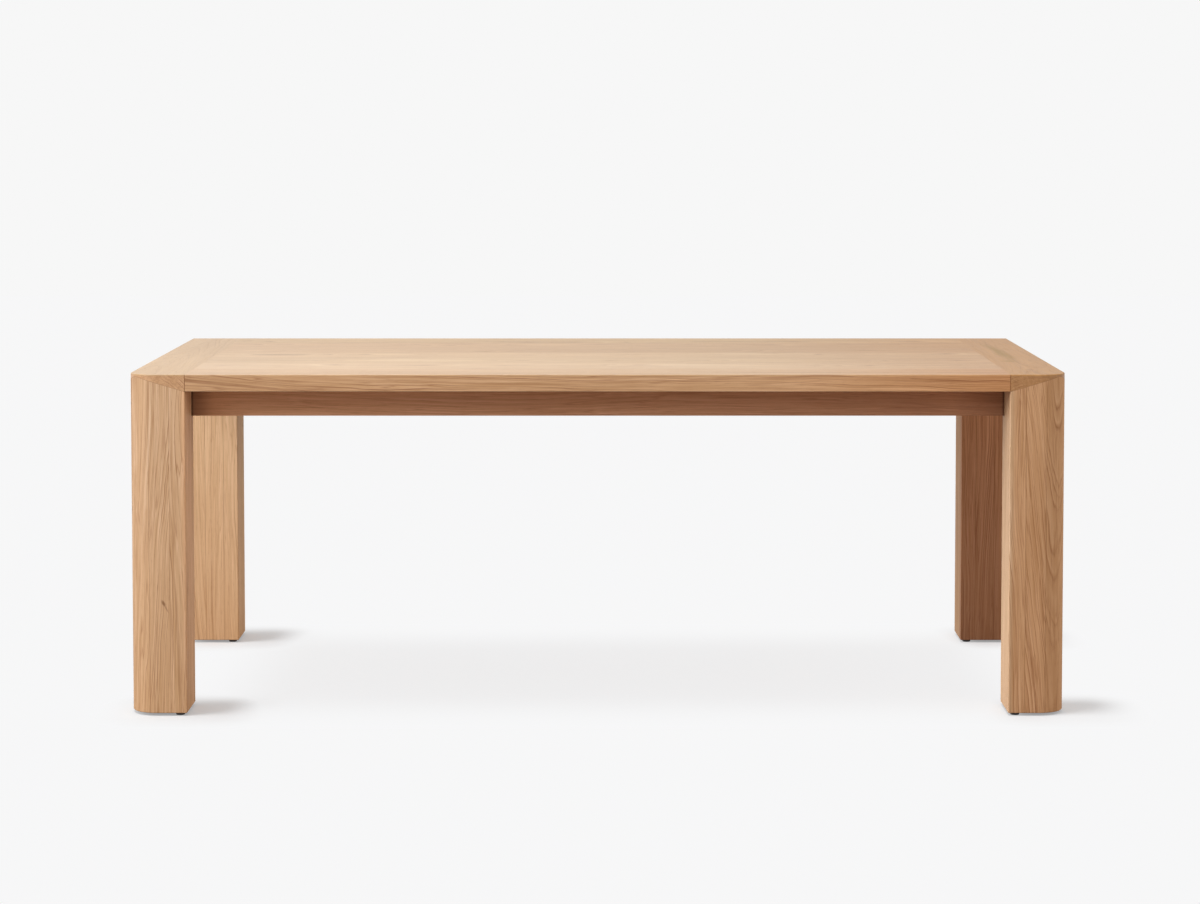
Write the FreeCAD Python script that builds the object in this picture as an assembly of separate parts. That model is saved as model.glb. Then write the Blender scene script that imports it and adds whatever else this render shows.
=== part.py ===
import FreeCAD
import Part
import math
import os

# Parsons dining table in solid oak.  A framed top (seven boards between two
# breadboard ends) lies flush on four thick glued-up legs.  The head of each leg
# is cut as a shallow hip, so that leg and breadboard end meet in a long mitre
# that starts at the table's top corner.  Four slim aprons stand well back from
# the edge and are drawn to the legs by steel corner brackets and hanger bolts.
#
# Millimetres.  The origin is on the floor under the middle of the table, +X runs
# along the table, the front faces -Y and +Z is up.  What stands in a corner is
# made for the corner at +X +Y and mirrored to the other three.

# Whole table
TABLE_LENGTH = 2083.0
TABLE_DEPTH = 1016.0
TABLE_HEIGHT = 762.0
TOP_THICKNESS = 38.0
FRONT_CORNER_RADIUS = 60.0  # plan radius of the two front corners, top and legs alike
BACK_CORNER_RADIUS = 5.0    # plan radius of the two back corners, top and legs alike
ARRIS_RADIUS = 2.0          # small round on the outer edges of top and legs
EASING = 1.2                # small round or bevel on the edges that hands rarely meet

# Top: boards between two breadboard ends, which are as wide as the legs
FIELD_BOARD_COUNT = 7
SEAM_BEVEL = 0.8            # bevel on both sides of a breadboard seam, on its upright edges
SPLINE_THICKNESS = 8.0
SPLINE_WIDTH = 24.0
SPLINE_STOP = 58.0          # the spline ends this far inside the table's edge
SPLINE_SIDE_GAP = 1.0       # room at the bottom of each groove
SPLINE_END_GAP = 3.0        # room for the boards to move along the spline

# Legs, each glued up from three staves
LEG_WIDTH = 128.0
INNER_STAVE = 36.0          # the stave beside the aprons; the other two share the rest
LEG_DOWEL_RISE = 14.0       # depth of a leg dowel in the breadboard end
LEG_DOWEL_DROP = 26.0       # depth of a leg dowel in the leg
LEG_DOWEL_NEAR = 60.0       # inner stave's dowel, from the leg's face on the long side
LEG_DOWEL_FAR = 100.0       # middle stave's dowel, from the same face

# Aprons and cross rails
APRON_HEIGHT = 64.0
APRON_THICKNESS = 19.0
CORNER_PROJECTION = 7.0     # how far the leg's inner corner stands past the aprons
RAIL_THICKNESS = 22.0
RAIL_HEIGHT = 46.0
RAIL_HOUSING = 6.0          # depth of the housing in the apron that takes a rail's end
RAIL_COUNT = 2

# Dowels in the aprons' ends
DOWEL_RADIUS = 4.0
DOWEL_DEPTH = 30.0          # depth on each side of the joint
DOWEL_CHAMFER = 1.0
DOWEL_NEAR_EDGE = 9.0       # height of the outer dowel from the apron's edge
DOWEL_NEAR_MIDDLE = 20.0    # height of the inner dowel from the apron's edge
HOLE_END_GAP = 1.0          # room past the end of a dowel, bolt, screw or nail

# Corner brackets and their hanger bolts
BRACKET_THICKNESS = 2.5
BRACKET_HEIGHT = 46.0
BRACKET_REACH = 60.0        # from the frame's corner to the bend, along each apron
BRACKET_FLANGE = 24.0
BRACKET_SCREW_SPACING = 26.0
BOLT_RADIUS = 4.0
BOLT_GRIP = 42.0            # depth of the bolt in the leg
BOLT_PROJECTION = 4.0       # thread left proud of the nut
BOLT_HOLE_GAP = 0.5
WASHER_RADIUS = 9.0
WASHER_THICKNESS = 1.6
NUT_ACROSS_FLATS = 13.0
NUT_THICKNESS = 6.5

# Clips that hold the top down and let it swell and shrink
CLIP_THICKNESS = 1.6
CLIP_WIDTH = 19.0
CLIP_TONGUE = 8.0           # depth of the clip in its kerf
CLIP_REACH = 24.0           # from the apron to the clip's free end
CLIP_RISER = 4.0            # from the apron to the riser's far side
CLIP_SCREW_OFFSET = 14.0    # from the apron to the screw
KERF_DROP = 11.0            # from the top's underside to the kerf
KERF_GAP = 0.8              # the kerf is this much higher than the clip is thick
KERF_SIDE_GAP = 3.0
CLIPS_PER_LONG_APRON = 4
CLIPS_PER_END_APRON = 2

# Screws
SCREW_RADIUS = 2.0
SCREW_HEAD_RADIUS = 4.0
SCREW_HEAD_HEIGHT = 2.4
SCREW_POINT = 3.0
SCREW_HOLE_GAP = 0.25
RECESS_WIDTH = 1.0
RECESS_LENGTH = 4.4
RECESS_DEPTH = 1.4
CLIP_SCREW_BITE = 12.0      # depth in the top
BRACKET_SCREW_BITE = 14.0   # depth in the apron
RAIL_SCREW_BITE = 16.0      # depth in the top
RAIL_SCREW_SINK = 10.0      # depth of the head's counterbore in the rail
COUNTERBORE_GAP = 1.0

# Nail-on floor glides
GLIDE_RADIUS = 10.0
GLIDE_HEIGHT = 6.0
GLIDE_ROUND = 1.5
GLIDE_INSET = 17.0          # centre of an inner glide from the leg's faces
OUTER_GLIDE_INSET = 30.0    # centre of the outer glide from the leg's end face
NAIL_RADIUS = 1.3
NAIL_DEPTH = 18.0
NAIL_HEAD_RADIUS = 3.4
NAIL_HEAD_HEIGHT = 1.2
NAIL_HEAD_SINK = 1.6        # from the floor to the nail's head
GLIDE_RECESS_GAP = 0.6

# Places that follow from the sizes above
HALF_LENGTH = TABLE_LENGTH / 2
HALF_DEPTH = TABLE_DEPTH / 2
UNDERSIDE = TABLE_HEIGHT - TOP_THICKNESS
LEG_X = HALF_LENGTH - LEG_WIDTH                 # inner side face of a leg
LEG_Y = HALF_DEPTH - LEG_WIDTH                  # inner back face of a leg
APRON_IN_X = LEG_X + CORNER_PROJECTION          # inner face of an end apron
APRON_IN_Y = LEG_Y + CORNER_PROJECTION          # inner face of a long apron
APRON_BOTTOM = UNDERSIDE - APRON_HEIGHT
APRON_MIDDLE = UNDERSIDE - APRON_HEIGHT / 2
KERF_TOP = UNDERSIDE - KERF_DROP
MARGIN = 5.0                                    # how far a cutting shape runs past the wood
TOLERANCE = 1e-4

CORNERS = {
    "front_left": (-1, -1),
    "front_right": (1, -1),
    "back_left": (-1, 1),
    "back_right": (1, 1),
}


# ---------------------------------------------------------------- helpers

def box(x0, x1, y0, y1, z0, z1):
    """A box between two corners."""
    return Part.makeBox(x1 - x0, y1 - y0, z1 - z0, FreeCAD.Vector(x0, y0, z0))


def prism(points, direction):
    """The polygon through the points, swept along the direction."""
    wire = Part.makePolygon(points + [points[0]])
    return Part.Face(wire).extrude(direction)


def along(shape, start, direction):
    """A shape made on +Z from the origin, moved to start and turned to the direction."""
    placed = shape.copy()
    turn = FreeCAD.Rotation(FreeCAD.Vector(0, 0, 1), direction)
    placed.Placement = FreeCAD.Placement(start, turn)
    return placed


def pin(start, direction, radius, length):
    """A plain round pin, or the hole for one."""
    return Part.makeCylinder(radius, length, start, direction)


def in_corner(shape, side_x, side_y):
    """A shape made for the +X +Y corner, mirrored to the corner on the given sides."""
    placed = shape.copy()
    if side_x < 0:
        placed = placed.mirror(FreeCAD.Vector(), FreeCAD.Vector(1, 0, 0))
    if side_y < 0:
        placed = placed.mirror(FreeCAD.Vector(), FreeCAD.Vector(0, 1, 0))
    return placed


def in_all_corners(shapes):
    """Every shape of a list, in all four corners."""
    return [in_corner(shape, *sides) for sides in CORNERS.values() for shape in shapes]


def edges_at(shape, **place):
    """The edges whose ends all lie at the given x, y or z."""
    found = []
    for edge in shape.Edges:
        ends = [{"x": v.X, "y": v.Y, "z": v.Z} for v in edge.Vertexes]
        if all(abs(end[key] - place[key]) < TOLERANCE for end in ends for key in place):
            found.append(edge)
    return found


def long_edges_at(shape, length, **place):
    """The edges at the given place that are at least as long as length."""
    return [edge for edge in edges_at(shape, **place) if edge.Length >= length - TOLERANCE]


def evenly(count, length):
    """Centres of count equal bays of a length that is centred on zero."""
    return [length * ((index + 0.5) / count - 0.5) for index in range(count)]


# ---------------------------------------------------------------- fasteners

def dowel(start, direction, length):
    """A round wooden dowel with chamfered ends."""
    rod = Part.makeCylinder(DOWEL_RADIUS, length)
    rod = rod.makeChamfer(DOWEL_CHAMFER, edges_at(rod, z=0) + edges_at(rod, z=length))
    return along(rod, start, direction)


def dowel_hole(start, direction, length):
    """The holes on both sides of a joint for one dowel, with room past its ends."""
    unit = FreeCAD.Vector(direction).normalize()
    return pin(start - unit * HOLE_END_GAP, unit, DOWEL_RADIUS, length + 2 * HOLE_END_GAP)


def screw(seat, direction, length):
    """A pan-head screw: its head rests on the seat and its shank runs along the direction."""
    head = Part.makeCylinder(SCREW_HEAD_RADIUS, SCREW_HEAD_HEIGHT,
                             FreeCAD.Vector(0, 0, -SCREW_HEAD_HEIGHT))
    head = head.makeFillet(SCREW_HEAD_HEIGHT / 2, edges_at(head, z=-SCREW_HEAD_HEIGHT))
    half = RECESS_LENGTH / 2
    slim = RECESS_WIDTH / 2
    low = -SCREW_HEAD_HEIGHT - MARGIN
    high = RECESS_DEPTH - SCREW_HEAD_HEIGHT
    head = head.cut(box(-half, half, -slim, slim, low, high))
    head = head.cut(box(-slim, slim, -half, half, low, high))
    shank = Part.makeCylinder(SCREW_RADIUS, length - SCREW_POINT)
    point = Part.makeCone(SCREW_RADIUS, SCREW_RADIUS / 8, SCREW_POINT,
                          FreeCAD.Vector(0, 0, length - SCREW_POINT))
    return along(head.fuse(shank).fuse(point).removeSplitter(), seat, direction)


def screw_hole(seat, direction, length):
    """The hole that a screw's thread fills, from its seat to just past its point."""
    return pin(seat, direction, SCREW_RADIUS, length + HOLE_END_GAP)


# ---------------------------------------------------------------- top

def corner_radius(side_y):
    """Plan radius of the table's corners on its front (-1) or back (1) side."""
    return FRONT_CORNER_RADIUS if side_y < 0 else BACK_CORNER_RADIUS


def rounded_slab():
    """The whole top as one slab, with rounded corners and arrises."""
    slab = box(-HALF_LENGTH, HALF_LENGTH, -HALF_DEPTH, HALF_DEPTH, UNDERSIDE, TABLE_HEIGHT)
    for side_x, side_y in CORNERS.values():
        upright = edges_at(slab, x=side_x * HALF_LENGTH, y=side_y * HALF_DEPTH)
        slab = slab.makeFillet(corner_radius(side_y), upright)
    outline = edges_at(slab, z=TABLE_HEIGHT) + edges_at(slab, z=UNDERSIDE)
    return slab.makeFillet(ARRIS_RADIUS, outline)


def hip_wedges():
    """What is taken off a leg's head: all above the two slopes of its hip."""
    slope = TOP_THICKNESS / LEG_WIDTH
    reach = LEG_WIDTH + MARGIN
    low = UNDERSIDE - slope * MARGIN
    high = TABLE_HEIGHT + slope * MARGIN
    sky = high + MARGIN
    along_x = prism([FreeCAD.Vector(LEG_X - MARGIN, LEG_Y - MARGIN, low),
                     FreeCAD.Vector(HALF_LENGTH + MARGIN, LEG_Y - MARGIN, high),
                     FreeCAD.Vector(HALF_LENGTH + MARGIN, LEG_Y - MARGIN, sky),
                     FreeCAD.Vector(LEG_X - MARGIN, LEG_Y - MARGIN, sky)],
                    FreeCAD.Vector(0, reach + MARGIN, 0))
    along_y = prism([FreeCAD.Vector(LEG_X - MARGIN, LEG_Y - MARGIN, low),
                     FreeCAD.Vector(LEG_X - MARGIN, HALF_DEPTH + MARGIN, high),
                     FreeCAD.Vector(LEG_X - MARGIN, HALF_DEPTH + MARGIN, sky),
                     FreeCAD.Vector(LEG_X - MARGIN, LEG_Y - MARGIN, sky)],
                    FreeCAD.Vector(reach + MARGIN, 0, 0))
    return [along_x, along_y]


def leg_room():
    """The room that a leg's head takes out of the breadboard end above it."""
    block = box(LEG_X, HALF_LENGTH + MARGIN, LEG_Y, HALF_DEPTH + MARGIN,
                UNDERSIDE - MARGIN, TABLE_HEIGHT + MARGIN)
    return block.cut(hip_wedges())


def spline(side_x, side_gap=0.0, end_gap=0.0):
    """The loose spline in a breadboard seam, or with gaps, the groove for it."""
    half_width = SPLINE_WIDTH / 2 + side_gap
    half_length = HALF_DEPTH - SPLINE_STOP + end_gap
    low = UNDERSIDE + (TOP_THICKNESS - SPLINE_THICKNESS) / 2
    seam = side_x * LEG_X
    return box(seam - half_width, seam + half_width, -half_length, half_length,
               low, low + SPLINE_THICKNESS)


def spline_groove(side_x):
    """The stopped groove on both sides of a breadboard seam."""
    return spline(side_x, SPLINE_SIDE_GAP, SPLINE_END_GAP)


def seam_notches(side_x):
    """The upright V between the bevels of a breadboard seam, at its front and back ends."""
    notches = []
    spread = SEAM_BEVEL + MARGIN
    for side_y in (-1, 1):
        root = side_y * (HALF_DEPTH - SEAM_BEVEL)
        mouth = side_y * (HALF_DEPTH + MARGIN)
        seam = side_x * LEG_X
        notches.append(prism([FreeCAD.Vector(seam, root, UNDERSIDE - MARGIN),
                              FreeCAD.Vector(seam + spread, mouth, UNDERSIDE - MARGIN),
                              FreeCAD.Vector(seam - spread, mouth, UNDERSIDE - MARGIN)],
                             FreeCAD.Vector(0, 0, TOP_THICKNESS + 2 * MARGIN)))
    return notches


def breadboard_end(slab, side_x):
    """One breadboard end: a board across the table, cut over to fit both leg heads."""
    low, high = sorted((side_x * LEG_X, side_x * (HALF_LENGTH + MARGIN)))
    end = slab.common(box(low, high, -HALF_DEPTH - MARGIN, HALF_DEPTH + MARGIN,
                          UNDERSIDE - MARGIN, TABLE_HEIGHT + MARGIN))
    rooms = [in_corner(leg_room(), side_x, side_y) for side_y in (-1, 1)]
    holes = [in_corner(hole, side_x, side_y) for hole in leg_dowel_holes() for side_y in (-1, 1)]
    return end.cut(rooms + holes + [spline_groove(side_x)] + seam_notches(side_x))


def field_boards(slab):
    """The boards between the breadboard ends, front to back."""
    field = slab.common(box(-LEG_X, LEG_X, -HALF_DEPTH - MARGIN, HALF_DEPTH + MARGIN,
                            UNDERSIDE - MARGIN, TABLE_HEIGHT + MARGIN))
    holes = [spline_groove(-1), spline_groove(1)] + seam_notches(-1) + seam_notches(1)
    holes += clip_screw_holes()
    holes += rail_screw_holes()
    field = field.cut(holes)
    width = TABLE_DEPTH / FIELD_BOARD_COUNT
    boards = []
    for centre in evenly(FIELD_BOARD_COUNT, TABLE_DEPTH):
        boards.append(field.common(box(-LEG_X, LEG_X, centre - width / 2, centre + width / 2,
                                       UNDERSIDE, TABLE_HEIGHT)))
    return boards


# ---------------------------------------------------------------- legs

def stave_bounds():
    """The X range of each stave of a leg, by name."""
    outer = (LEG_WIDTH - INNER_STAVE) / 2
    first = LEG_X + INNER_STAVE
    return {
        "inner": (LEG_X, first),
        "middle": (first, first + outer),
        "outer": (first + outer, HALF_LENGTH),
    }


def leg_dowel_places():
    """Where each leg dowel crosses the mitre: its plan place and the mitre's height there."""
    staves = stave_bounds()
    places = []
    for name, from_face in (("inner", LEG_DOWEL_NEAR), ("middle", LEG_DOWEL_FAR)):
        x = sum(staves[name]) / 2
        y = HALF_DEPTH - from_face
        inset = max(HALF_LENGTH - x, from_face)
        places.append(FreeCAD.Vector(x, y, TABLE_HEIGHT - TOP_THICKNESS * inset / LEG_WIDTH))
    return places


def leg_dowels():
    """The upright dowels between one leg and its breadboard end."""
    drop = FreeCAD.Vector(0, 0, LEG_DOWEL_DROP)
    up = FreeCAD.Vector(0, 0, 1)
    return [dowel(place - drop, up, LEG_DOWEL_DROP + LEG_DOWEL_RISE)
            for place in leg_dowel_places()]


def leg_dowel_holes():
    """The holes for the upright dowels of one leg."""
    drop = FreeCAD.Vector(0, 0, LEG_DOWEL_DROP)
    up = FreeCAD.Vector(0, 0, 1)
    return [dowel_hole(place - drop, up, LEG_DOWEL_DROP + LEG_DOWEL_RISE)
            for place in leg_dowel_places()]


def bolt_flat():
    """The triangle taken off the leg's inner corner, where the hanger bolt enters."""
    past = CORNER_PROJECTION + MARGIN
    low = APRON_BOTTOM
    return prism([FreeCAD.Vector(LEG_X - MARGIN, LEG_Y - MARGIN, low),
                  FreeCAD.Vector(LEG_X + past, LEG_Y - MARGIN, low),
                  FreeCAD.Vector(LEG_X - MARGIN, LEG_Y + past, low)],
                 FreeCAD.Vector(0, 0, APRON_HEIGHT + MARGIN))


def leg(side_y):
    """One front (-1) or back (1) leg in one piece: rounded, hipped and with all its holes."""
    post = box(LEG_X, HALF_LENGTH, LEG_Y, HALF_DEPTH, GLIDE_HEIGHT, TABLE_HEIGHT + MARGIN)
    post = post.makeFillet(corner_radius(side_y), edges_at(post, x=HALF_LENGTH, y=HALF_DEPTH))
    arrises = edges_at(post, x=LEG_X, y=HALF_DEPTH) + edges_at(post, x=HALF_LENGTH, y=LEG_Y)
    arrises += edges_at(post, x=LEG_X, y=LEG_Y)
    post = post.makeFillet(ARRIS_RADIUS, arrises)
    post = post.makeChamfer(EASING, edges_at(post, z=GLIDE_HEIGHT))
    holes = leg_dowel_holes() + apron_dowel_holes() + nail_holes()
    return post.cut(hip_wedges() + [bolt_flat(), bolt_hole()] + holes)


def leg_staves(side_y):
    """The three staves of one front (-1) or back (1) leg, by name."""
    whole = leg(side_y)
    staves = {}
    for name, (low, high) in stave_bounds().items():
        staves[name] = whole.common(box(low, high, LEG_Y - MARGIN, HALF_DEPTH + MARGIN,
                                        0, TABLE_HEIGHT + MARGIN))
    return staves


# ---------------------------------------------------------------- aprons and rails

def apron_dowel_axes():
    """Start and direction of each apron dowel of one corner, from inside the apron."""
    middle_x = APRON_IN_X + APRON_THICKNESS / 2
    middle_y = APRON_IN_Y + APRON_THICKNESS / 2
    back = LEG_X - DOWEL_DEPTH
    aside = LEG_Y - DOWEL_DEPTH
    to_end = FreeCAD.Vector(1, 0, 0)
    to_back = FreeCAD.Vector(0, 1, 0)
    return [
        (FreeCAD.Vector(back, middle_y, APRON_BOTTOM + DOWEL_NEAR_EDGE), to_end),
        (FreeCAD.Vector(back, middle_y, UNDERSIDE - DOWEL_NEAR_MIDDLE), to_end),
        (FreeCAD.Vector(middle_x, aside, APRON_BOTTOM + DOWEL_NEAR_MIDDLE), to_back),
        (FreeCAD.Vector(middle_x, aside, UNDERSIDE - DOWEL_NEAR_EDGE), to_back),
    ]


def apron_dowels():
    """The four dowels that line up the two aprons with the leg of one corner."""
    return [dowel(start, direction, 2 * DOWEL_DEPTH) for start, direction in apron_dowel_axes()]


def apron_dowel_holes():
    """The holes for the apron dowels of one corner."""
    return [dowel_hole(start, direction, 2 * DOWEL_DEPTH)
            for start, direction in apron_dowel_axes()]


def apron_holes():
    """Everything that is drilled or sawn into the four aprons."""
    holes = in_all_corners(apron_dowel_holes() + bracket_screw_holes())
    for start, inwards in clip_places():
        holes.append(clip_kerf(start, inwards))
    return holes


def long_apron(side_y):
    """The apron along the front or the back, with housings for the cross rails."""
    low, high = sorted((side_y * APRON_IN_Y, side_y * (APRON_IN_Y + APRON_THICKNESS)))
    board = box(-LEG_X, LEG_X, low, high, APRON_BOTTOM, UNDERSIDE)
    board = board.makeFillet(EASING, long_edges_at(board, 2 * LEG_X, z=APRON_BOTTOM))
    return board.cut(apron_holes() + cross_rail_blanks())


def end_apron(side_x):
    """The apron along the left or the right end."""
    low, high = sorted((side_x * APRON_IN_X, side_x * (APRON_IN_X + APRON_THICKNESS)))
    board = box(low, high, -LEG_Y, LEG_Y, APRON_BOTTOM, UNDERSIDE)
    board = board.makeFillet(EASING, long_edges_at(board, 2 * LEG_Y, z=APRON_BOTTOM))
    return board.cut(apron_holes())


def rail_places():
    """X of each cross rail, at the middle of equal bays between the legs."""
    step = 2 * LEG_X / (RAIL_COUNT + 1)
    return [step * (index + 1) - LEG_X for index in range(RAIL_COUNT)]


def cross_rail_blanks():
    """The cross rails before they are eased and drilled, housed in both long aprons."""
    reach = APRON_IN_Y + RAIL_HOUSING
    half = RAIL_THICKNESS / 2
    return [box(x - half, x + half, -reach, reach, UNDERSIDE - RAIL_HEIGHT, UNDERSIDE)
            for x in rail_places()]


def rail_screw_seats():
    """Where the head of each cross rail's screw sits, at the middle of the table."""
    seat = UNDERSIDE - RAIL_HEIGHT + RAIL_SCREW_SINK
    return [FreeCAD.Vector(x, 0, seat) for x in rail_places()]


def rail_screw_length():
    """From the screw's seat through the rail into the top."""
    return RAIL_HEIGHT - RAIL_SCREW_SINK + RAIL_SCREW_BITE


def rail_screw_holes():
    """The holes that the cross rails' screws fill."""
    up = FreeCAD.Vector(0, 0, 1)
    return [screw_hole(seat, up, rail_screw_length()) for seat in rail_screw_seats()]


def cross_rails():
    """The rails under the top between the long aprons, left to right."""
    rails = []
    bottom = UNDERSIDE - RAIL_HEIGHT
    clear_length = 2 * (APRON_IN_Y + RAIL_HOUSING)
    for blank, seat in zip(cross_rail_blanks(), rail_screw_seats()):
        blank = blank.makeFillet(EASING, long_edges_at(blank, clear_length, z=bottom))
        mouth = FreeCAD.Vector(seat.x, seat.y, bottom - MARGIN)
        bore = pin(mouth, FreeCAD.Vector(0, 0, 1), SCREW_HEAD_RADIUS + COUNTERBORE_GAP,
                   RAIL_SCREW_SINK + MARGIN)
        rails.append(blank.cut([bore] + rail_screw_holes()))
    return rails


def rail_screws():
    """One screw up through the middle of each cross rail."""
    up = FreeCAD.Vector(0, 0, 1)
    return [screw(seat, up, rail_screw_length()) for seat in rail_screw_seats()]


# ---------------------------------------------------------------- corner hardware

def bracket_outline(low):
    """Plan of a bracket: a flange on each apron and the web across the corner."""
    knee = BRACKET_THICKNESS * math.tan(math.radians(22.5))
    tip = BRACKET_REACH + BRACKET_FLANGE
    steps = [(tip, 0), (BRACKET_REACH, 0), (0, BRACKET_REACH), (0, tip),
             (BRACKET_THICKNESS, tip), (BRACKET_THICKNESS, BRACKET_REACH + knee),
             (BRACKET_REACH + knee, BRACKET_THICKNESS), (tip, BRACKET_THICKNESS)]
    return [FreeCAD.Vector(APRON_IN_X - dx, APRON_IN_Y - dy, low) for dx, dy in steps]


def bolt_axis():
    """Middle of the flat on the leg's inner corner, and the way out of the leg."""
    half = CORNER_PROJECTION / 2
    return (FreeCAD.Vector(LEG_X + half, LEG_Y + half, APRON_MIDDLE),
            FreeCAD.Vector(-1, -1, 0).normalize())


def web_distance():
    """From the flat on the leg to the near face of the bracket's web."""
    return (BRACKET_REACH - CORNER_PROJECTION) / math.sqrt(2)


def bolt_hole():
    """The hole for the hanger bolt in the leg."""
    flat, out = bolt_axis()
    return pin(flat - out * (BOLT_GRIP + HOLE_END_GAP), out, BOLT_RADIUS,
               BOLT_GRIP + HOLE_END_GAP + CORNER_PROJECTION)


def hanger_bolt():
    """The bolt with a wood thread in the leg and a machine thread through the bracket."""
    flat, out = bolt_axis()
    length = (BOLT_GRIP + web_distance() + BRACKET_THICKNESS + WASHER_THICKNESS
              + NUT_THICKNESS + BOLT_PROJECTION)
    tip = BOLT_RADIUS
    rod = Part.makeCylinder(BOLT_RADIUS, length - tip, FreeCAD.Vector(0, 0, tip))
    rod = rod.makeChamfer(BOLT_RADIUS / 4, edges_at(rod, z=length))
    rod = rod.fuse(Part.makeCone(BOLT_RADIUS / 4, BOLT_RADIUS, tip)).removeSplitter()
    return along(rod, flat - out * BOLT_GRIP, out)


def washer():
    """The washer on the inner face of the bracket's web."""
    flat, out = bolt_axis()
    disc = Part.makeCylinder(WASHER_RADIUS, WASHER_THICKNESS)
    disc = disc.cut(Part.makeCylinder(BOLT_RADIUS + BOLT_HOLE_GAP, WASHER_THICKNESS))
    return along(disc, flat + out * (web_distance() + BRACKET_THICKNESS), out)


def nut():
    """The hexagon nut on the washer, with its corners turned back."""
    flat, out = bolt_axis()
    corner = NUT_ACROSS_FLATS / math.sqrt(3)
    points = []
    for index in range(6):
        angle = math.radians(60 * index)
        points.append(FreeCAD.Vector(corner * math.cos(angle), corner * math.sin(angle), 0))
    hexagon = prism(points, FreeCAD.Vector(0, 0, NUT_THICKNESS))
    turned = Part.makeCylinder(corner, NUT_THICKNESS)
    turned = turned.makeChamfer(corner - NUT_ACROSS_FLATS / 2,
                                edges_at(turned, z=0) + edges_at(turned, z=NUT_THICKNESS))
    solid = hexagon.common(turned).cut(Part.makeCylinder(BOLT_RADIUS, NUT_THICKNESS))
    start = web_distance() + BRACKET_THICKNESS + WASHER_THICKNESS
    return along(solid, flat + out * start, out)


def bracket_screw_axes():
    """Seat and direction of each screw through one bracket's flanges."""
    along_apron = BRACKET_REACH + BRACKET_FLANGE / 2
    half = BRACKET_SCREW_SPACING / 2
    axes = []
    for z in (APRON_MIDDLE - half, APRON_MIDDLE + half):
        axes.append((FreeCAD.Vector(APRON_IN_X - along_apron, APRON_IN_Y - BRACKET_THICKNESS, z),
                     FreeCAD.Vector(0, 1, 0)))
        axes.append((FreeCAD.Vector(APRON_IN_X - BRACKET_THICKNESS, APRON_IN_Y - along_apron, z),
                     FreeCAD.Vector(1, 0, 0)))
    return axes


def bracket_screws():
    """The screws through one bracket's flanges."""
    return [screw(seat, direction, BRACKET_THICKNESS + BRACKET_SCREW_BITE)
            for seat, direction in bracket_screw_axes()]


def bracket_screw_holes():
    """The holes in the aprons that these screws fill."""
    return [screw_hole(seat, direction, BRACKET_THICKNESS + BRACKET_SCREW_BITE)
            for seat, direction in bracket_screw_axes()]


def corner_bracket():
    """The pressed steel bracket across one corner of the frame."""
    low = APRON_MIDDLE - BRACKET_HEIGHT / 2
    plate = prism(bracket_outline(low), FreeCAD.Vector(0, 0, BRACKET_HEIGHT))
    flat, out = bolt_axis()
    holes = [pin(flat, out, BOLT_RADIUS + BOLT_HOLE_GAP, web_distance() + WASHER_RADIUS)]
    for seat, direction in bracket_screw_axes():
        holes.append(pin(seat - direction * MARGIN, direction, SCREW_RADIUS + SCREW_HOLE_GAP,
                         MARGIN + BRACKET_THICKNESS))
    return plate.cut(holes)


# ---------------------------------------------------------------- clips

def clip_places():
    """Start on an apron's inner face under the top, and the way inwards, of each clip."""
    places = []
    for side in (-1, 1):
        for x in evenly(CLIPS_PER_LONG_APRON, 2 * LEG_X):
            places.append((FreeCAD.Vector(x, side * APRON_IN_Y, UNDERSIDE),
                           FreeCAD.Vector(0, -side, 0)))
        for y in evenly(CLIPS_PER_END_APRON, 2 * LEG_Y):
            places.append((FreeCAD.Vector(side * APRON_IN_X, y, UNDERSIDE),
                           FreeCAD.Vector(-side, 0, 0)))
    return places


def clip_block(start, inwards, near, far, drop_low, drop_high, width):
    """A block beside an apron, by its distances inwards and below the top."""
    across = FreeCAD.Vector(-inwards.y, inwards.x, 0)
    corner = start + inwards * near - across * (width / 2)
    points = [corner, corner + inwards * (far - near),
              corner + inwards * (far - near) + across * width, corner + across * width]
    lowered = [point - FreeCAD.Vector(0, 0, drop_low) for point in points]
    return prism(lowered, FreeCAD.Vector(0, 0, drop_low - drop_high))


def clip_kerf(start, inwards):
    """The short kerf in the apron for a clip's tongue."""
    return clip_block(start, inwards, -CLIP_TONGUE - HOLE_END_GAP, MARGIN,
                      KERF_DROP + CLIP_THICKNESS + KERF_GAP, KERF_DROP,
                      CLIP_WIDTH + 2 * KERF_SIDE_GAP)


def clip(start, inwards):
    """A Z-shaped clip: tongue in the kerf, riser, and a flat under the top."""
    tongue = clip_block(start, inwards, -CLIP_TONGUE, CLIP_RISER,
                        KERF_DROP + CLIP_THICKNESS, KERF_DROP, CLIP_WIDTH)
    riser = clip_block(start, inwards, CLIP_RISER - CLIP_THICKNESS, CLIP_RISER,
                       KERF_DROP + CLIP_THICKNESS, 0, CLIP_WIDTH)
    flat = clip_block(start, inwards, CLIP_RISER - CLIP_THICKNESS, CLIP_REACH,
                      CLIP_THICKNESS, 0, CLIP_WIDTH)
    seat = clip_screw_seat(start, inwards)
    hole = pin(seat, FreeCAD.Vector(0, 0, 1), SCREW_RADIUS + SCREW_HOLE_GAP, CLIP_THICKNESS)
    return tongue.fuse([riser, flat]).removeSplitter().cut(hole)


def clip_screw_seat(start, inwards):
    """Where a clip's screw head sits, on the underside of the clip's flat."""
    return start + inwards * CLIP_SCREW_OFFSET - FreeCAD.Vector(0, 0, CLIP_THICKNESS)


def clip_screws():
    """The screws that hold the clips to the top."""
    up = FreeCAD.Vector(0, 0, 1)
    return [screw(clip_screw_seat(*place), up, CLIP_THICKNESS + CLIP_SCREW_BITE)
            for place in clip_places()]


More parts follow.
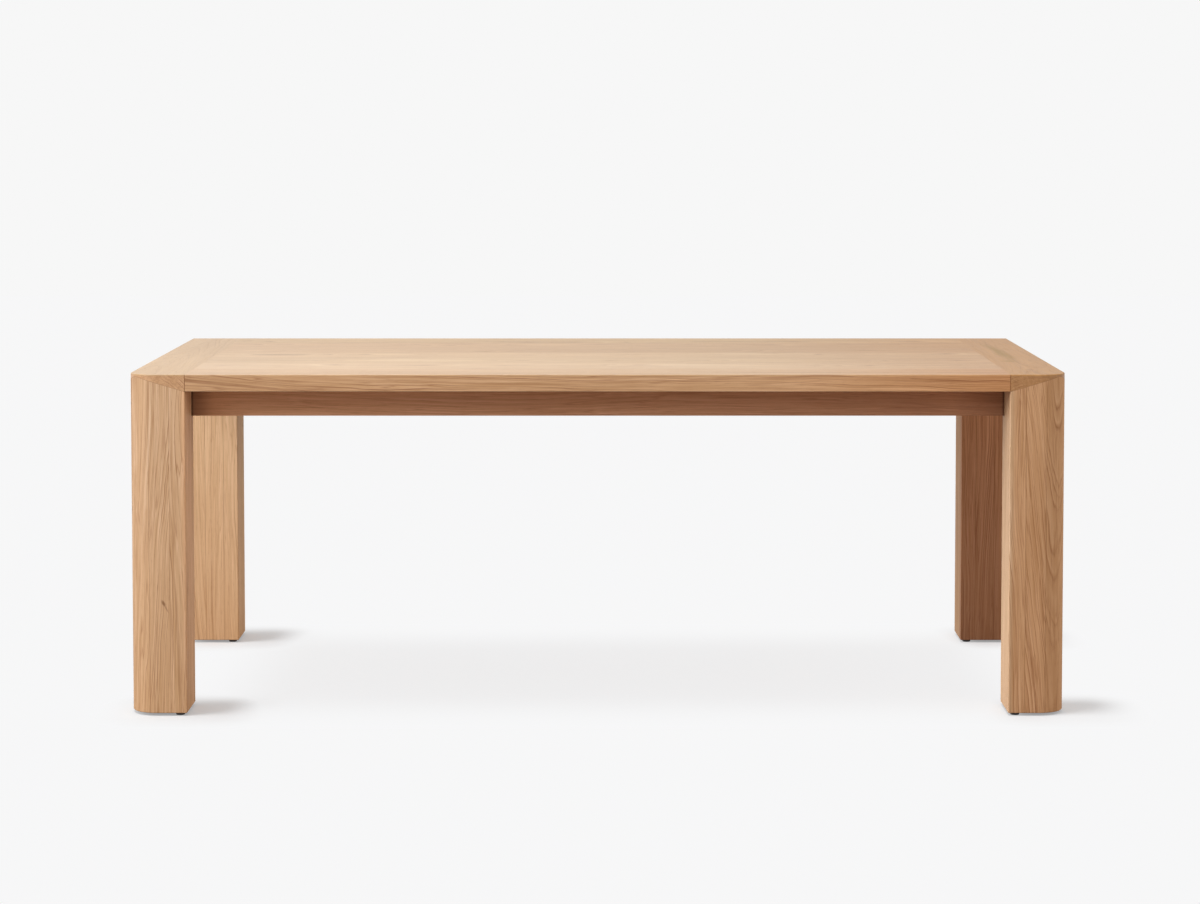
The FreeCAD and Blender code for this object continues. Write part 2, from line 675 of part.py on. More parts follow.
def clip_screw_holes():
    """The holes in the top that these screws fill."""
    up = FreeCAD.Vector(0, 0, 1)
    return [screw_hole(clip_screw_seat(*place), up, CLIP_THICKNESS + CLIP_SCREW_BITE)
            for place in clip_places()]


# ---------------------------------------------------------------- glides

def glide_centres():
    """Plan places of the three glides under one leg: two by the inner face, one further out."""
    near_x = LEG_X + GLIDE_INSET
    return [FreeCAD.Vector(near_x, LEG_Y + GLIDE_INSET, 0),
            FreeCAD.Vector(near_x, HALF_DEPTH - GLIDE_INSET, 0),
            FreeCAD.Vector(HALF_LENGTH - OUTER_GLIDE_INSET, LEG_Y + LEG_WIDTH / 2, 0)]


def glide(centre):
    """A round plastic glide with a sunk seat for its nail."""
    up = FreeCAD.Vector(0, 0, 1)
    disc = pin(centre, up, GLIDE_RADIUS, GLIDE_HEIGHT)
    disc = disc.makeFillet(GLIDE_ROUND, edges_at(disc, z=0))
    sunk = pin(centre, up, NAIL_HEAD_RADIUS + GLIDE_RECESS_GAP, NAIL_HEAD_SINK + NAIL_HEAD_HEIGHT)
    return disc.cut([sunk, pin(centre, up, NAIL_RADIUS, GLIDE_HEIGHT)])


def glide_nail(centre):
    """The nail that holds a glide, with its head clear of the floor."""
    up = FreeCAD.Vector(0, 0, 1)
    head_low = centre + up * NAIL_HEAD_SINK
    head = pin(head_low, up, NAIL_HEAD_RADIUS, NAIL_HEAD_HEIGHT)
    shank = pin(head_low, up, NAIL_RADIUS, GLIDE_HEIGHT - NAIL_HEAD_SINK + NAIL_DEPTH)
    return head.fuse(shank).removeSplitter()


def nail_holes():
    """The holes for the three nails in one leg."""
    up = FreeCAD.Vector(0, 0, 1)
    return [pin(centre, up, NAIL_RADIUS, GLIDE_HEIGHT + NAIL_DEPTH + HOLE_END_GAP)
            for centre in glide_centres()]


# ---------------------------------------------------------------- assembly

def all_nodes():
    """Every node of the table by name: one solid, or a list of identical ones."""
    nodes = {}
    slab = rounded_slab()
    for index, board in enumerate(field_boards(slab)):
        nodes["top_board_%d" % (index + 1)] = board
    for name, side in (("left", -1), ("right", 1)):
        nodes["breadboard_end_" + name] = breadboard_end(slab, side)
        nodes["breadboard_spline_" + name] = spline(side)
        nodes["apron_" + name] = end_apron(side)
    nodes["apron_front"] = long_apron(-1)
    nodes["apron_back"] = long_apron(1)
    for index, rail in enumerate(cross_rails()):
        nodes["cross_rail_%d" % (index + 1)] = rail
    staves = {side_y: leg_staves(side_y) for side_y in (-1, 1)}
    glides = [glide(centre) for centre in glide_centres()]
    for corner, sides in CORNERS.items():
        for name, stave in staves[sides[1]].items():
            nodes["leg_%s_%s_stave" % (corner, name)] = in_corner(stave, *sides)
        nodes["glides_" + corner] = [in_corner(disc, *sides) for disc in glides]
    nodes["glide_nails"] = in_all_corners([glide_nail(centre) for centre in glide_centres()])
    nodes["leg_dowels"] = in_all_corners(leg_dowels())
    nodes["apron_dowels"] = in_all_corners(apron_dowels())
    nodes["corner_brackets"] = in_all_corners([corner_bracket()])
    nodes["bracket_screws"] = in_all_corners(bracket_screws())
    nodes["hanger_bolts"] = in_all_corners([hanger_bolt()])
    nodes["bolt_washers"] = in_all_corners([washer()])
    nodes["bolt_nuts"] = in_all_corners([nut()])
    nodes["tabletop_clips"] = [clip(*place) for place in clip_places()]
    nodes["clip_screws"] = clip_screws()
    nodes["cross_rail_screws"] = rail_screws()
    return nodes


def main():
    """Write one STEP file per node."""
    os.makedirs("parts", exist_ok=True)
    for name, shape in all_nodes().items():
        solids = shape if isinstance(shape, list) else [shape]
        solids = [solid for item in solids for solid in item.Solids]
        body = solids[0] if len(solids) == 1 else Part.makeCompound(solids)
        body.exportStep(os.path.join("parts", name + ".step"))
        print("%-34s %3d solid(s) %14.1f mm3" % (name, len(solids), body.Volume))


main()
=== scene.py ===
import math

import bmesh
import bpy
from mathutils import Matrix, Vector

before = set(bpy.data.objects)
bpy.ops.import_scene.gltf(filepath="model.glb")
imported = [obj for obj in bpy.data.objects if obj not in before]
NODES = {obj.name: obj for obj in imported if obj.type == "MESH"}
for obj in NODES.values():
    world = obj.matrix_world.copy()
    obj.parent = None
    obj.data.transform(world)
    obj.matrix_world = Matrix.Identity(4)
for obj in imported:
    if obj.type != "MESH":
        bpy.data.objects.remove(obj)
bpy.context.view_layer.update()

# The table's sizes, in metres
HALF_LENGTH = 1.0415
HALF_DEPTH = 0.508
TABLE_HEIGHT = 0.762
TOP_THICKNESS = 0.038
ARRIS = 0.002
LEG_WIDTH = 0.128
INNER_STAVE = 0.036
MIDDLE_STAVE = 0.046
SEAM_X = HALF_LENGTH - LEG_WIDTH
LEG_INSIDE_Y = HALF_DEPTH - LEG_WIDTH
LEG_X = HALF_LENGTH - LEG_WIDTH / 2
LEG_Y = HALF_DEPTH - LEG_WIDTH / 2
UNDERSIDE = TABLE_HEIGHT - TOP_THICKNESS

# Widths of the glue lines, and how far a seam's line goes in from the face
MITRE_LINE = 0.0008
SEAM_LINE = 0.0014
STAVE_LINE = 0.0009
SEAM_DEPTH = 0.0012

# Colours of the wood, the nylon and the studio's white
OAK = (0.600, 0.352, 0.185)
OAK_LINE = (0.345, 0.158, 0.070)
OAK_PALE = (0.720, 0.460, 0.275)
PORE = (0.235, 0.105, 0.038)
KNOT_BROWN = (0.19, 0.085, 0.036)
STREAK_OLIVE = (0.30, 0.150, 0.006)
BEECH_TINT = (1.15, 1.2, 1.25)
NYLON_BLACK = (0.016, 0.016, 0.017)
NYLON_SCUFF = (0.040, 0.039, 0.038)
PAPER = 0.93

# How strongly red, green and blue fall where the wood is darker: it darkens towards brown
WARMTH = (0.76, 1.0, 1.38)


# Node helpers

def put(tree, kind, inputs=None, **settings):
    """Add a shader node, set its properties and fill or wire its inputs."""
    new = tree.nodes.new("ShaderNode" + kind)
    for name, value in settings.items():
        setattr(new, name, value)
    for key, value in (inputs or {}).items():
        if isinstance(value, bpy.types.NodeSocket):
            tree.links.new(value, new.inputs[key])
        else:
            new.inputs[key].default_value = value
    return new


def maths(tree, operation, *values):
    """The result of one Math node."""
    return put(tree, "Math", dict(enumerate(values)), operation=operation).outputs[0]


def vectors(tree, operation, *values):
    """The result of one Vector Math node."""
    return put(tree, "VectorMath", dict(enumerate(values)), operation=operation).outputs[0]


def scaled(tree, vector, level):
    """A vector or colour times one number."""
    return put(tree, "VectorMath", {0: vector, 3: level}, operation="SCALE").outputs[0]


def length(tree, vector):
    """The length of a vector."""
    return put(tree, "VectorMath", {0: vector}, operation="LENGTH").outputs["Value"]


def remap(tree, value, low, high, new_low=0.0, new_high=1.0, smooth=False):
    """Carry value from one range to another, held at both ends."""
    kind = "SMOOTHSTEP" if smooth else "LINEAR"
    return put(tree, "MapRange", {0: value, 1: low, 2: high, 3: new_low, 4: new_high},
               interpolation_type=kind).outputs[0]


def grain(across, along):
    """The scale per metre of a noise that is drawn out along the grain, which lies along Z."""
    return (across, across, along)


def noise(tree, place, scale, detail=2.0, rough=0.5):
    """A noise node with its own scale per metre in each direction."""
    squeezed = vectors(tree, "MULTIPLY", place, scale)
    return put(tree, "TexNoise", {"Vector": squeezed, "Scale": 1.0, "Detail": detail,
                                  "Roughness": rough})


def blend_colour(tree, amount, first, second, kind="MIX"):
    """Mix two colours."""
    mix = put(tree, "Mix", {0: amount, 6: first, 7: second}, data_type="RGBA", blend_type=kind)
    return mix.outputs[2]


def rgba(colour):
    """A colour with the fourth value that colour sockets ask for."""
    return (*colour, 1.0)


def object_place(tree):
    """The point that is shaded, in the object's own coordinates."""
    return put(tree, "TexCoord").outputs["Object"]


def coordinate(tree, place, axis):
    """One coordinate of a place: 0 for x, 1 for y, 2 for z."""
    return put(tree, "SeparateXYZ", {0: place}).outputs[axis]


def new_group(name, inputs, outputs):
    """An empty node group with these sockets, and the sockets inside it."""
    tree = bpy.data.node_groups.new(name, "ShaderNodeTree")
    for way, sockets in (("INPUT", inputs), ("OUTPUT", outputs)):
        for socket, kind in sockets.items():
            tree.interface.new_socket(socket, in_out=way, socket_type="NodeSocket" + kind)
    return tree, tree.nodes.new("NodeGroupInput").outputs, tree.nodes.new("NodeGroupOutput").inputs


def new_material(name):
    """A material with an empty node tree, and the tree."""
    material = bpy.data.materials.new(name)
    material.use_nodes = True
    material.node_tree.nodes.clear()
    return material, material.node_tree


# Oak

# The wander of the rings from true circles: the scale of the wander and its reach in metres
SWAYS = ((grain(3.0, 1.0), 0.060), (grain(14.0, 3.2), 0.014), (grain(75.0, 14.0), 0.0022))

# How light the wood is from the start of one year's ring to its end
RING_PROFILE = ((0.0, 0.02), (0.07, 0.22), (0.15, 0.50), (0.24, 0.68), (0.38, 0.56), (0.60, 0.50),
                (0.82, 0.45), (0.93, 0.26), (1.0, 0.02))

RING_WIDTH = 0.0042    # a usual year's ring
RING_TAPER = 0.018     # how much the trunk narrows per metre
UNEVEN_YEARS = 2.0     # how far wide and narrow years shift a ring, in rings


def wandering(tree, place, wood):
    """The place with the wander of the rings added to it."""
    for scale, reach in SWAYS:
        swing = noise(tree, wood, scale, 1.0).outputs["Color"]
        centred = vectors(tree, "SUBTRACT", swing, (0.5, 0.5, 0.5))
        step = vectors(tree, "MULTIPLY", centred, (reach, reach, 0.0))
        place = vectors(tree, "ADD", place, step)
    return place


def ring_lightness(tree, place, ring_width):
    """How light the wood is at a place, by its distance from the heart."""
    parts = put(tree, "SeparateXYZ", {0: place}).outputs
    radius = maths(tree, "SQRT", maths(tree, "ADD", maths(tree, "MULTIPLY", parts[0], parts[0]),
                                       maths(tree, "MULTIPLY", parts[1], parts[1])))
    radius = maths(tree, "MULTIPLY_ADD", parts[2], RING_TAPER, radius)
    years = maths(tree, "DIVIDE", radius, ring_width)
    uneven = put(tree, "TexNoise", {"W": maths(tree, "MULTIPLY", years, 0.55), "Scale": 1.0,
                                    "Detail": 1.0}, noise_dimensions="1D").outputs[0]
    years = maths(tree, "MULTIPLY_ADD", uneven, UNEVEN_YEARS, years)
    ramp = put(tree, "ValToRGB", {0: maths(tree, "FRACT", years)})
    stops = ramp.color_ramp.elements
    for where, level in RING_PROFILE:
        stop = stops.new(where) if 0.0 < where < 1.0 else stops[int(where) * (len(stops) - 1)]
        stop.color = (level, level, level, 1.0)
    return ramp.outputs[0]


def thin_line(tree, value, level):
    """1 where a noise crosses this level, which draws a hair-thin line."""
    gap = maths(tree, "ABSOLUTE", maths(tree, "SUBTRACT", value, level))
    return remap(tree, gap, 0.004, 0.035, 1.0, 0.0)


def oak_figure():
    """Node group: growth rings round a heart, with fibre, pores and slow drifts of tone."""
    tree, given, out = new_group(
        "oak_figure",
        {"Place": "Vector", "Seed": "Float", "Ring Width": "Float", "Contrast": "Float"},
        {"Colour": "Color", "Grain": "Float", "Height": "Float"})
    own_seed = put(tree, "CombineXYZ", {0: given["Seed"], 1: given["Seed"], 2: given["Seed"]})
    own_seed = own_seed.outputs[0]
    contrast = given["Contrast"]
    wood = vectors(tree, "ADD", given["Place"], own_seed)
    swayed = wandering(tree, given["Place"], wood)
    drift = vectors(tree, "ADD", swayed, own_seed)
    ring = ring_lightness(tree, swayed, given["Ring Width"])

    # Dark lines and pale gleams of the rings, bolder in some places than in others
    bold = noise(tree, drift, grain(34.0, 3.2), 1.0).outputs[0]
    bold = maths(tree, "MULTIPLY", remap(tree, bold, 0.36, 0.66, 0.22, 1.15), contrast)
    line = maths(tree, "MULTIPLY", remap(tree, ring, 0.0, 0.5, 1.0, 0.0), bold)
    gleam = maths(tree, "MULTIPLY", remap(tree, ring, 0.5, 0.68, 0.0, 1.0), bold)

    # Fine lines and gleams between the rings
    hair = noise(tree, drift, grain(105.0, 2.4), 1.0, 0.4).outputs[0]
    fine = maths(tree, "MULTIPLY", contrast, 0.42)
    line = maths(tree, "MAXIMUM", line, maths(tree, "MULTIPLY", thin_line(tree, hair, 0.50), fine))
    gleam = maths(tree, "MAXIMUM", gleam,
                  maths(tree, "MULTIPLY", thin_line(tree, hair, 0.44), fine))
    colour = blend_colour(tree, line, rgba(OAK), rgba(OAK_LINE))
    colour = blend_colour(tree, maths(tree, "MULTIPLY", gleam, 0.7), colour, rgba(OAK_PALE))

    # Lighter and darker wood, from single fibres to slow drifts
    fibre = noise(tree, wood, grain(430.0, 7.0), 3.0, 0.6).outputs[0]
    strand = noise(tree, drift, grain(165.0, 3.2), 2.0, 0.65).outputs[0]
    streak = noise(tree, wood, grain(62.0, 1.6), 2.0, 0.6).outputs[0]
    tone = noise(tree, wood, grain(5.0, 1.3), 1.0).outputs[0]
    strand = maths(tree, "MULTIPLY", remap(tree, strand, 0.30, 0.70, -0.13, 0.12), contrast)
    level = remap(tree, fibre, 0.25, 0.75, 0.91, 1.09)
    level = maths(tree, "MULTIPLY", level, maths(tree, "ADD", strand, 1.0))
    level = maths(tree, "MULTIPLY", level, remap(tree, streak, 0.3, 0.7, 0.94, 1.06))
    level = maths(tree, "MULTIPLY", level, remap(tree, tone, 0.3, 0.7, 0.95, 1.05))
    swing = scaled(tree, WARMTH, maths(tree, "SUBTRACT", level, 1.0))
    colour = vectors(tree, "MULTIPLY", colour, vectors(tree, "ADD", swing, (1.0, 1.0, 1.0)))

    # Pores, mostly in the rings' dark lines
    pits = remap(tree, noise(tree, wood, grain(1100.0, 48.0), 1.0).outputs[0], 0.57, 0.70)
    pits = maths(tree, "MULTIPLY", pits, remap(tree, ring, 0.0, 0.5, 1.0, 0.25))
    colour = blend_colour(tree, maths(tree, "MULTIPLY", pits, 0.55), colour, rgba(PORE))

    rough = maths(tree, "MULTIPLY_ADD", pits, 0.15, remap(tree, fibre, 0.25, 0.75, 0.0, 0.10))
    height = maths(tree, "MULTIPLY_ADD", pits, -1.0, maths(tree, "MULTIPLY", line, -0.25))
    height = maths(tree, "MULTIPLY_ADD", fibre, 0.35, height)
    tree.links.new(colour, out["Colour"])
    tree.links.new(rough, out["Grain"])
    tree.links.new(height, out["Height"])
    return tree


def joint_lines():
    """Node group: above 0 on the glue lines of mitres, seams and staves, 0 elsewhere."""
    tree, given, out = new_group("joint_lines", {"Place": "Vector"}, {"Line": "Float"})
    parts = put(tree, "SeparateXYZ", {0: given["Place"]}).outputs
    along = maths(tree, "ABSOLUTE", parts[0])
    across = maths(tree, "ABSOLUTE", parts[1])

    def near(value, level, width):
        gap = maths(tree, "ABSOLUTE", maths(tree, "SUBTRACT", value, level))
        return remap(tree, gap, width * 0.4, width, 1.0, 0.0)

    # The mitre falls through the slab's thickness over the width of the leg
    from_end = maths(tree, "SUBTRACT", HALF_LENGTH, along)
    from_side = maths(tree, "SUBTRACT", HALF_DEPTH, across)
    fall = maths(tree, "MULTIPLY", maths(tree, "MAXIMUM", from_end, from_side),
                 TOP_THICKNESS / LEG_WIDTH)
    on_slab = remap(tree, parts[2], UNDERSIDE, UNDERSIDE + 0.0004)
    mitre = near(maths(tree, "ADD", parts[2], fall), TABLE_HEIGHT, MITRE_LINE)
    mitre = maths(tree, "MULTIPLY", mitre, maths(tree, "MULTIPLY", on_slab, 0.45))

    # The seams between boards and breadboard ends show on the long edges of the top
    at_face = remap(tree, across, HALF_DEPTH - SEAM_DEPTH - 0.0004, HALF_DEPTH - SEAM_DEPTH)
    seam = maths(tree, "MULTIPLY", near(along, SEAM_X, SEAM_LINE), on_slab)
    seam = maths(tree, "MULTIPLY", seam, maths(tree, "MULTIPLY", at_face, 0.6))

    # The staves' lines run up the legs and fade out under the top
    at_leg = remap(tree, across, LEG_INSIDE_Y - 0.0004, LEG_INSIDE_Y)
    stave = maths(tree, "MAXIMUM", near(along, SEAM_X + INNER_STAVE, STAVE_LINE),
                  near(along, SEAM_X + INNER_STAVE + MIDDLE_STAVE, STAVE_LINE))
    off_slab = remap(tree, parts[2], UNDERSIDE, TABLE_HEIGHT - 0.01, 0.5, 0.0)
    stave = maths(tree, "MULTIPLY", stave, maths(tree, "MULTIPLY", at_leg, off_slab))

    line = maths(tree, "MAXIMUM", mitre, seam)
    tree.links.new(maths(tree, "MAXIMUM", line, stave), out["Line"])
    return tree


FIGURE = oak_figure()
JOINT_LINES = joint_lines()

GRAIN_TURN = {"X": (0.0, -math.pi / 2, 0.0), "Y": (math.pi / 2, 0.0, 0.0), "Z": (0.0, 0.0, 0.0)}
BOARD_REACH = {"X": (-HALF_LENGTH, HALF_LENGTH), "Y": (-HALF_DEPTH, HALF_DEPTH),
               "Z": (0.0, TABLE_HEIGHT)}


def heart_place(direction, heart):
    """Where the heart of the tree goes once the grain lies along Z."""
    x, y, z = heart
    return {"X": (z, -y, 0.0), "Y": (-x, z, 0.0), "Z": (-x, -y, 0.0)}[direction]


def by_height_in_top(tree, place, at_edge, on_top):
    """One number on the edges of the top, below its arris, and another on its upper face."""
    return remap(tree, coordinate(tree, place, 2), TABLE_HEIGHT - 1.5 * ARRIS,
                 TABLE_HEIGHT - 0.75 * ARRIS, at_edge, on_top)


def oak_board(name, direction, heart, seed, tint=(1.0, 1.0, 1.0), far_tint=None, reach=None,
              lean=0.0, ring=RING_WIDTH, contrast=1.0, edge_contrast=None, rough=0.60, gloss=0.2,
              marks=()):
    """The finish of one board: oak sawn round its own heart, with a tone that runs from end to end,
    on some boards partly painted light.
    """
    material, tree = new_material("oak_" + name)
    place = object_place(tree)
    turn = Vector(GRAIN_TURN[direction]) + Vector((0.0, math.radians(lean), 0.0))
    turned = put(tree, "Mapping", {"Vector": place, "Rotation": turn,
                                   "Location": heart_place(direction, heart)})
    if edge_contrast:
        contrast = by_height_in_top(tree, place, edge_contrast, contrast)
    figure = put(tree, "Group", {"Place": turned.outputs[0], "Seed": seed, "Ring Width": ring,
                                 "Contrast": contrast}, node_tree=FIGURE).outputs
    low, high = reach or BOARD_REACH[direction]
    along = coordinate(tree, place, "XYZ".index(direction))
    along = remap(tree, along, low, high, smooth=bool(reach))
    tone = blend_colour(tree, along, rgba(tint), rgba(far_tint or tint))
    colour = blend_colour(tree, 1.0, figure["Colour"], tone, "MULTIPLY")
    for mark in marks:
        colour = mark(tree, place, colour)
    line = put(tree, "Group", {"Place": place}, node_tree=JOINT_LINES).outputs[0]
    colour = blend_colour(tree, line, colour, rgba(PORE))
    bump = put(tree, "Bump", {"Strength": 0.35, "Distance": 0.0002, "Height": figure["Height"]})
    shader = put(tree, "BsdfPrincipled", {
        "Base Color": colour, "Roughness": maths(tree, "ADD", figure["Grain"], rough),
        "Normal": bump.outputs[0], "IOR": 1.48, "Specular IOR Level": gloss})
    put(tree, "OutputMaterial", {"Surface": shader.outputs[0]})
    return material


# Marks of single boards: each takes a board's colour and gives it back with the mark

KNOT_PLACE = (-0.9640, 0.0, 0.2520)
KNOT_LEAN = -28               # degrees from upright
TAIL_DROP = 0.012             # from the knot's middle to its tail's
STREAK_PLACE = (0.968, 0.08, 0.0)
STREAK_TURN = 0.8             # degrees off the board's length
BLOT_PLACE = (0.960, -0.165, 0.0)
APRON_FADE_LEFT = 0.06        # lengths of the shaded ends of the front apron
APRON_FADE_RIGHT = 0.12
APRON_JOINT = 0.006
BOARD_FADE_END = -0.55        # where the boards' shaded left ends stop


def pin_knot(tree, place, colour):
    """A small brown knot with a tail, on the front of a leg."""
    moved = put(tree, "Mapping", {"Vector": place, "Location": KNOT_PLACE,
                                  "Rotation": (0.0, math.radians(KNOT_LEAN), 0.0)},
                vector_type="TEXTURE").outputs[0]
    knot = length(tree, vectors(tree, "MULTIPLY", moved, (250.0, 0.0, 110.0)))
    below = vectors(tree, "ADD", moved, (0.0, 0.0, TAIL_DROP))
    tail = length(tree, vectors(tree, "MULTIPLY", below, (420.0, 0.0, 62.0)))
    dark = maths(tree, "MAXIMUM", remap(tree, knot, 0.3, 1.2, 0.75, 0.0, smooth=True),
                 remap(tree, tail, 0.2, 1.1, 0.45, 0.0, smooth=True))
    return blend_colour(tree, dark, colour, rgba(KNOT_BROWN))


def mineral_streak(tree, place, colour):
    """A long olive-brown streak in the right-hand breadboard end, with a blot at its near end."""
    wavy = noise(tree, place, (14.0, 5.0, 1.0), 2.0).outputs["Color"]
    wavy = vectors(tree, "MULTIPLY", vectors(tree, "SUBTRACT", wavy, (0.5, 0.5, 0.5)),
                   (0.04, 0.02, 0.0))

    def blot(location, turn, scale, strength):
        moved = put(tree, "Mapping", {"Vector": place, "Location": location,
                                      "Rotation": (0.0, 0.0, math.radians(turn))},
                    vector_type="TEXTURE").outputs[0]
        away = length(tree, vectors(tree, "MULTIPLY", vectors(tree, "ADD", moved, wavy), scale))
        return remap(tree, away, 0.1, 1.1, strength, 0.0, smooth=True)

    dark = maths(tree, "MAXIMUM", blot(STREAK_PLACE, STREAK_TURN, (56.0, 3.0, 0.0), 0.85),
                 blot(BLOT_PLACE, 0.0, (34.0, 44.0, 0.0), 0.85))
    return blend_colour(tree, dark, colour, rgba(STREAK_OLIVE))


def corner_shade(tree, place, colour):
    """Painted shade at the ends of the front apron, darker where they meet the legs, with a dark
    joint line.
    """
    along = coordinate(tree, place, 0)
    left = remap(tree, along, -SEAM_X, -SEAM_X + APRON_FADE_LEFT, 0.5, 1.05, smooth=True)
    right = remap(tree, along, SEAM_X - APRON_FADE_RIGHT, SEAM_X, 1.0, 0.66)
    joint = remap(tree, maths(tree, "ABSOLUTE", along), SEAM_X - APRON_JOINT, SEAM_X - 0.001,
                  1.0, 0.35)
    return scaled(tree, colour, maths(tree, "MULTIPLY", maths(tree, "MULTIPLY", left, right), joint))


def seam_shade(tree, place, colour):
    """Painted shade on the left ends of the boards, a little darker towards the breadboard end."""
    level = remap(tree, coordinate(tree, place, 0), -SEAM_X, BOARD_FADE_END, 0.94, 1.0,
                  smooth=True)
    return scaled(tree, colour, level)


def painted_face_light(axis, start, fade, foot, head=None):
    """A mark that paints light or shade on the wood behind one face of a leg, from foot to head."""
    def mark(tree, place, colour):
        depth = remap(tree, coordinate(tree, place, axis), start, start + fade, 1.0, 0.0,
                      smooth=True)
        height = remap(tree, coordinate(tree, place, 2), 0.0, TABLE_HEIGHT)
        tone = blend_colour(tree, height, rgba(foot), rgba(head or foot))
        return blend_colour(tree, depth, colour, tone, "MULTIPLY")
    return mark


def painted_edge_light(tone):
    """A mark that paints light or shade on the edges of the top, below the arris, apart from its
    upper face.
    """
    def mark(tree, place, colour):
        edge = by_height_in_top(tree, place, 1.0, 0.0)
        return blend_colour(tree, edge, colour, rgba(tone), "MULTIPLY")
    return mark


def dress(node, material):
    """Give a piece one finish all over."""
    mesh = NODES[node].data
    mesh.materials.clear()
    mesh.materials.append(material)


# The top: heart, seed, tone at the left and at the right, contrast of the edge. The tones are partly
# the boards' own and partly painted light, darker and more saturated towards the right

RIGHT_PART = (0.25, HALF_LENGTH)
TOP_BOARDS = {
    1: ((0, -0.33, 0.64), 3.1, (0.89, 0.95, 0.93), (0.87, 0.75, 0.56), 1.3),
    2: ((0, -0.27, 0.90), 5.7, (0.95, 1.08, 1.14), (0.87, 0.85, 0.76), 0.9),
    3: ((0, -0.15, 0.66), 8.3, (0.88, 0.98, 0.97), (0.88, 0.86, 0.76), 0.9),
    4: ((0, 0.02, 0.87), 11.9, (0.87, 0.95, 0.92), (0.87, 0.85, 0.73), 0.9),
    5: ((0, 0.13, 0.65), 14.2, (0.80, 0.83, 0.75), (0.78, 0.69, 0.49), 0.9),
    6: ((0, 0.30, 0.88), 17.6, (0.79, 0.81, 0.72), (0.80, 0.70, 0.45), 0.9),
    7: ((0, 0.40, 0.55), 21.4, (0.79, 0.84, 0.72), (0.86, 0.78, 0.53), 1.2),
}
FRONT_BOARD_RING = 0.0032
OILED_TOP = dict(rough=0.32, gloss=0.5)
# Painted light on the long edges of the front and back boards, apart from the top face
painted_long_edge_light = painted_edge_light((1.03, 0.95, 0.93))
for number, (heart, seed, left_tone_and_light, right_tone_and_light, edge_contrast) in TOP_BOARDS.items():
    name = "top_board_%d" % number
    marks = [seam_shade, painted_long_edge_light] if number in (1, 7) else [seam_shade]
    dress(name, oak_board(name, "X", heart, seed, left_tone_and_light, right_tone_and_light, RIGHT_PART,
                          ring=FRONT_BOARD_RING if number == 1 else RING_WIDTH, contrast=0.9,
                          edge_contrast=edge_contrast, marks=marks, **OILED_TOP))

# The breadboard ends' edges carry painted light: lighter on the left end, darker and cooler on the
# right
dress("breadboard_end_left",
      oak_board("breadboard_end_left", "Y", (-1.00, 0, 0.62), 24.3, (0.75, 0.80, 0.73),
                contrast=0.28, edge_contrast=0.9, marks=[painted_edge_light((1.18, 1.08, 1.14))],
                **OILED_TOP))
dress("breadboard_end_right",
      oak_board("breadboard_end_right", "Y", (0.99, 0, 0.62), 27.8, (0.77, 0.66, 0.40),
                contrast=0.4, edge_contrast=0.9,
                marks=[mineral_streak, painted_edge_light((0.91, 0.90, 1.08))], **OILED_TOP))


# The legs: each stave has its own heart, and each leg a tone at foot and head, partly its wood's and
# partly painted light, darker at the foot and paler at the head

SKIN_X = SEAM_X + 0.0015              # wood that shows on a leg's side face
SKIN_FADE = 0.012
SHADED_FRONT_Y = LEG_INSIDE_Y + 0.002    # wood that shows on the front of a back leg
SHADED_FRONT_FADE = 0.043
# Painted shade on the front face of the back right leg, deepest at its foot and lighter at its head
painted_front_shade = painted_face_light(1, SHADED_FRONT_Y, SHADED_FRONT_FADE, (0.71, 0.59, 0.58), (1.22, 1.08, 1.09))
# Painted light and shade on the legs' inner side faces: paler on the front right leg, darker on the
# back right leg, and on the front left leg darker at the foot and lighter at the head
painted_pale_light_side = painted_face_light(0, SKIN_X, SKIN_FADE, (0.99, 1.10, 1.22))
painted_shade_side = painted_face_light(0, SKIN_X, SKIN_FADE, (0.93, 0.92, 0.90))
painted_warm_light_side = painted_face_light(0, -SKIN_X, -SKIN_FADE, (0.92, 0.88, 0.87), (1.20, 1.12, 1.08))
LEG_TONES_AND_LIGHT = {
    "front_left": ((0.98, 1.02, 1.06), (0.99, 1.09, 1.23)),
    "front_right": ((0.92, 0.85, 0.80), (0.94, 0.90, 0.87)),
    "back_left": ((0.88, 0.88, 0.87), (1.19, 1.38, 1.56)),
    "back_right": ((0.75, 0.68, 0.63), (0.95, 0.88, 0.83)),
}
LEG_RINGS = {"front_left": RING_WIDTH, "front_right": RING_WIDTH, "back_left": 0.0034,
             "back_right": 0.0036}
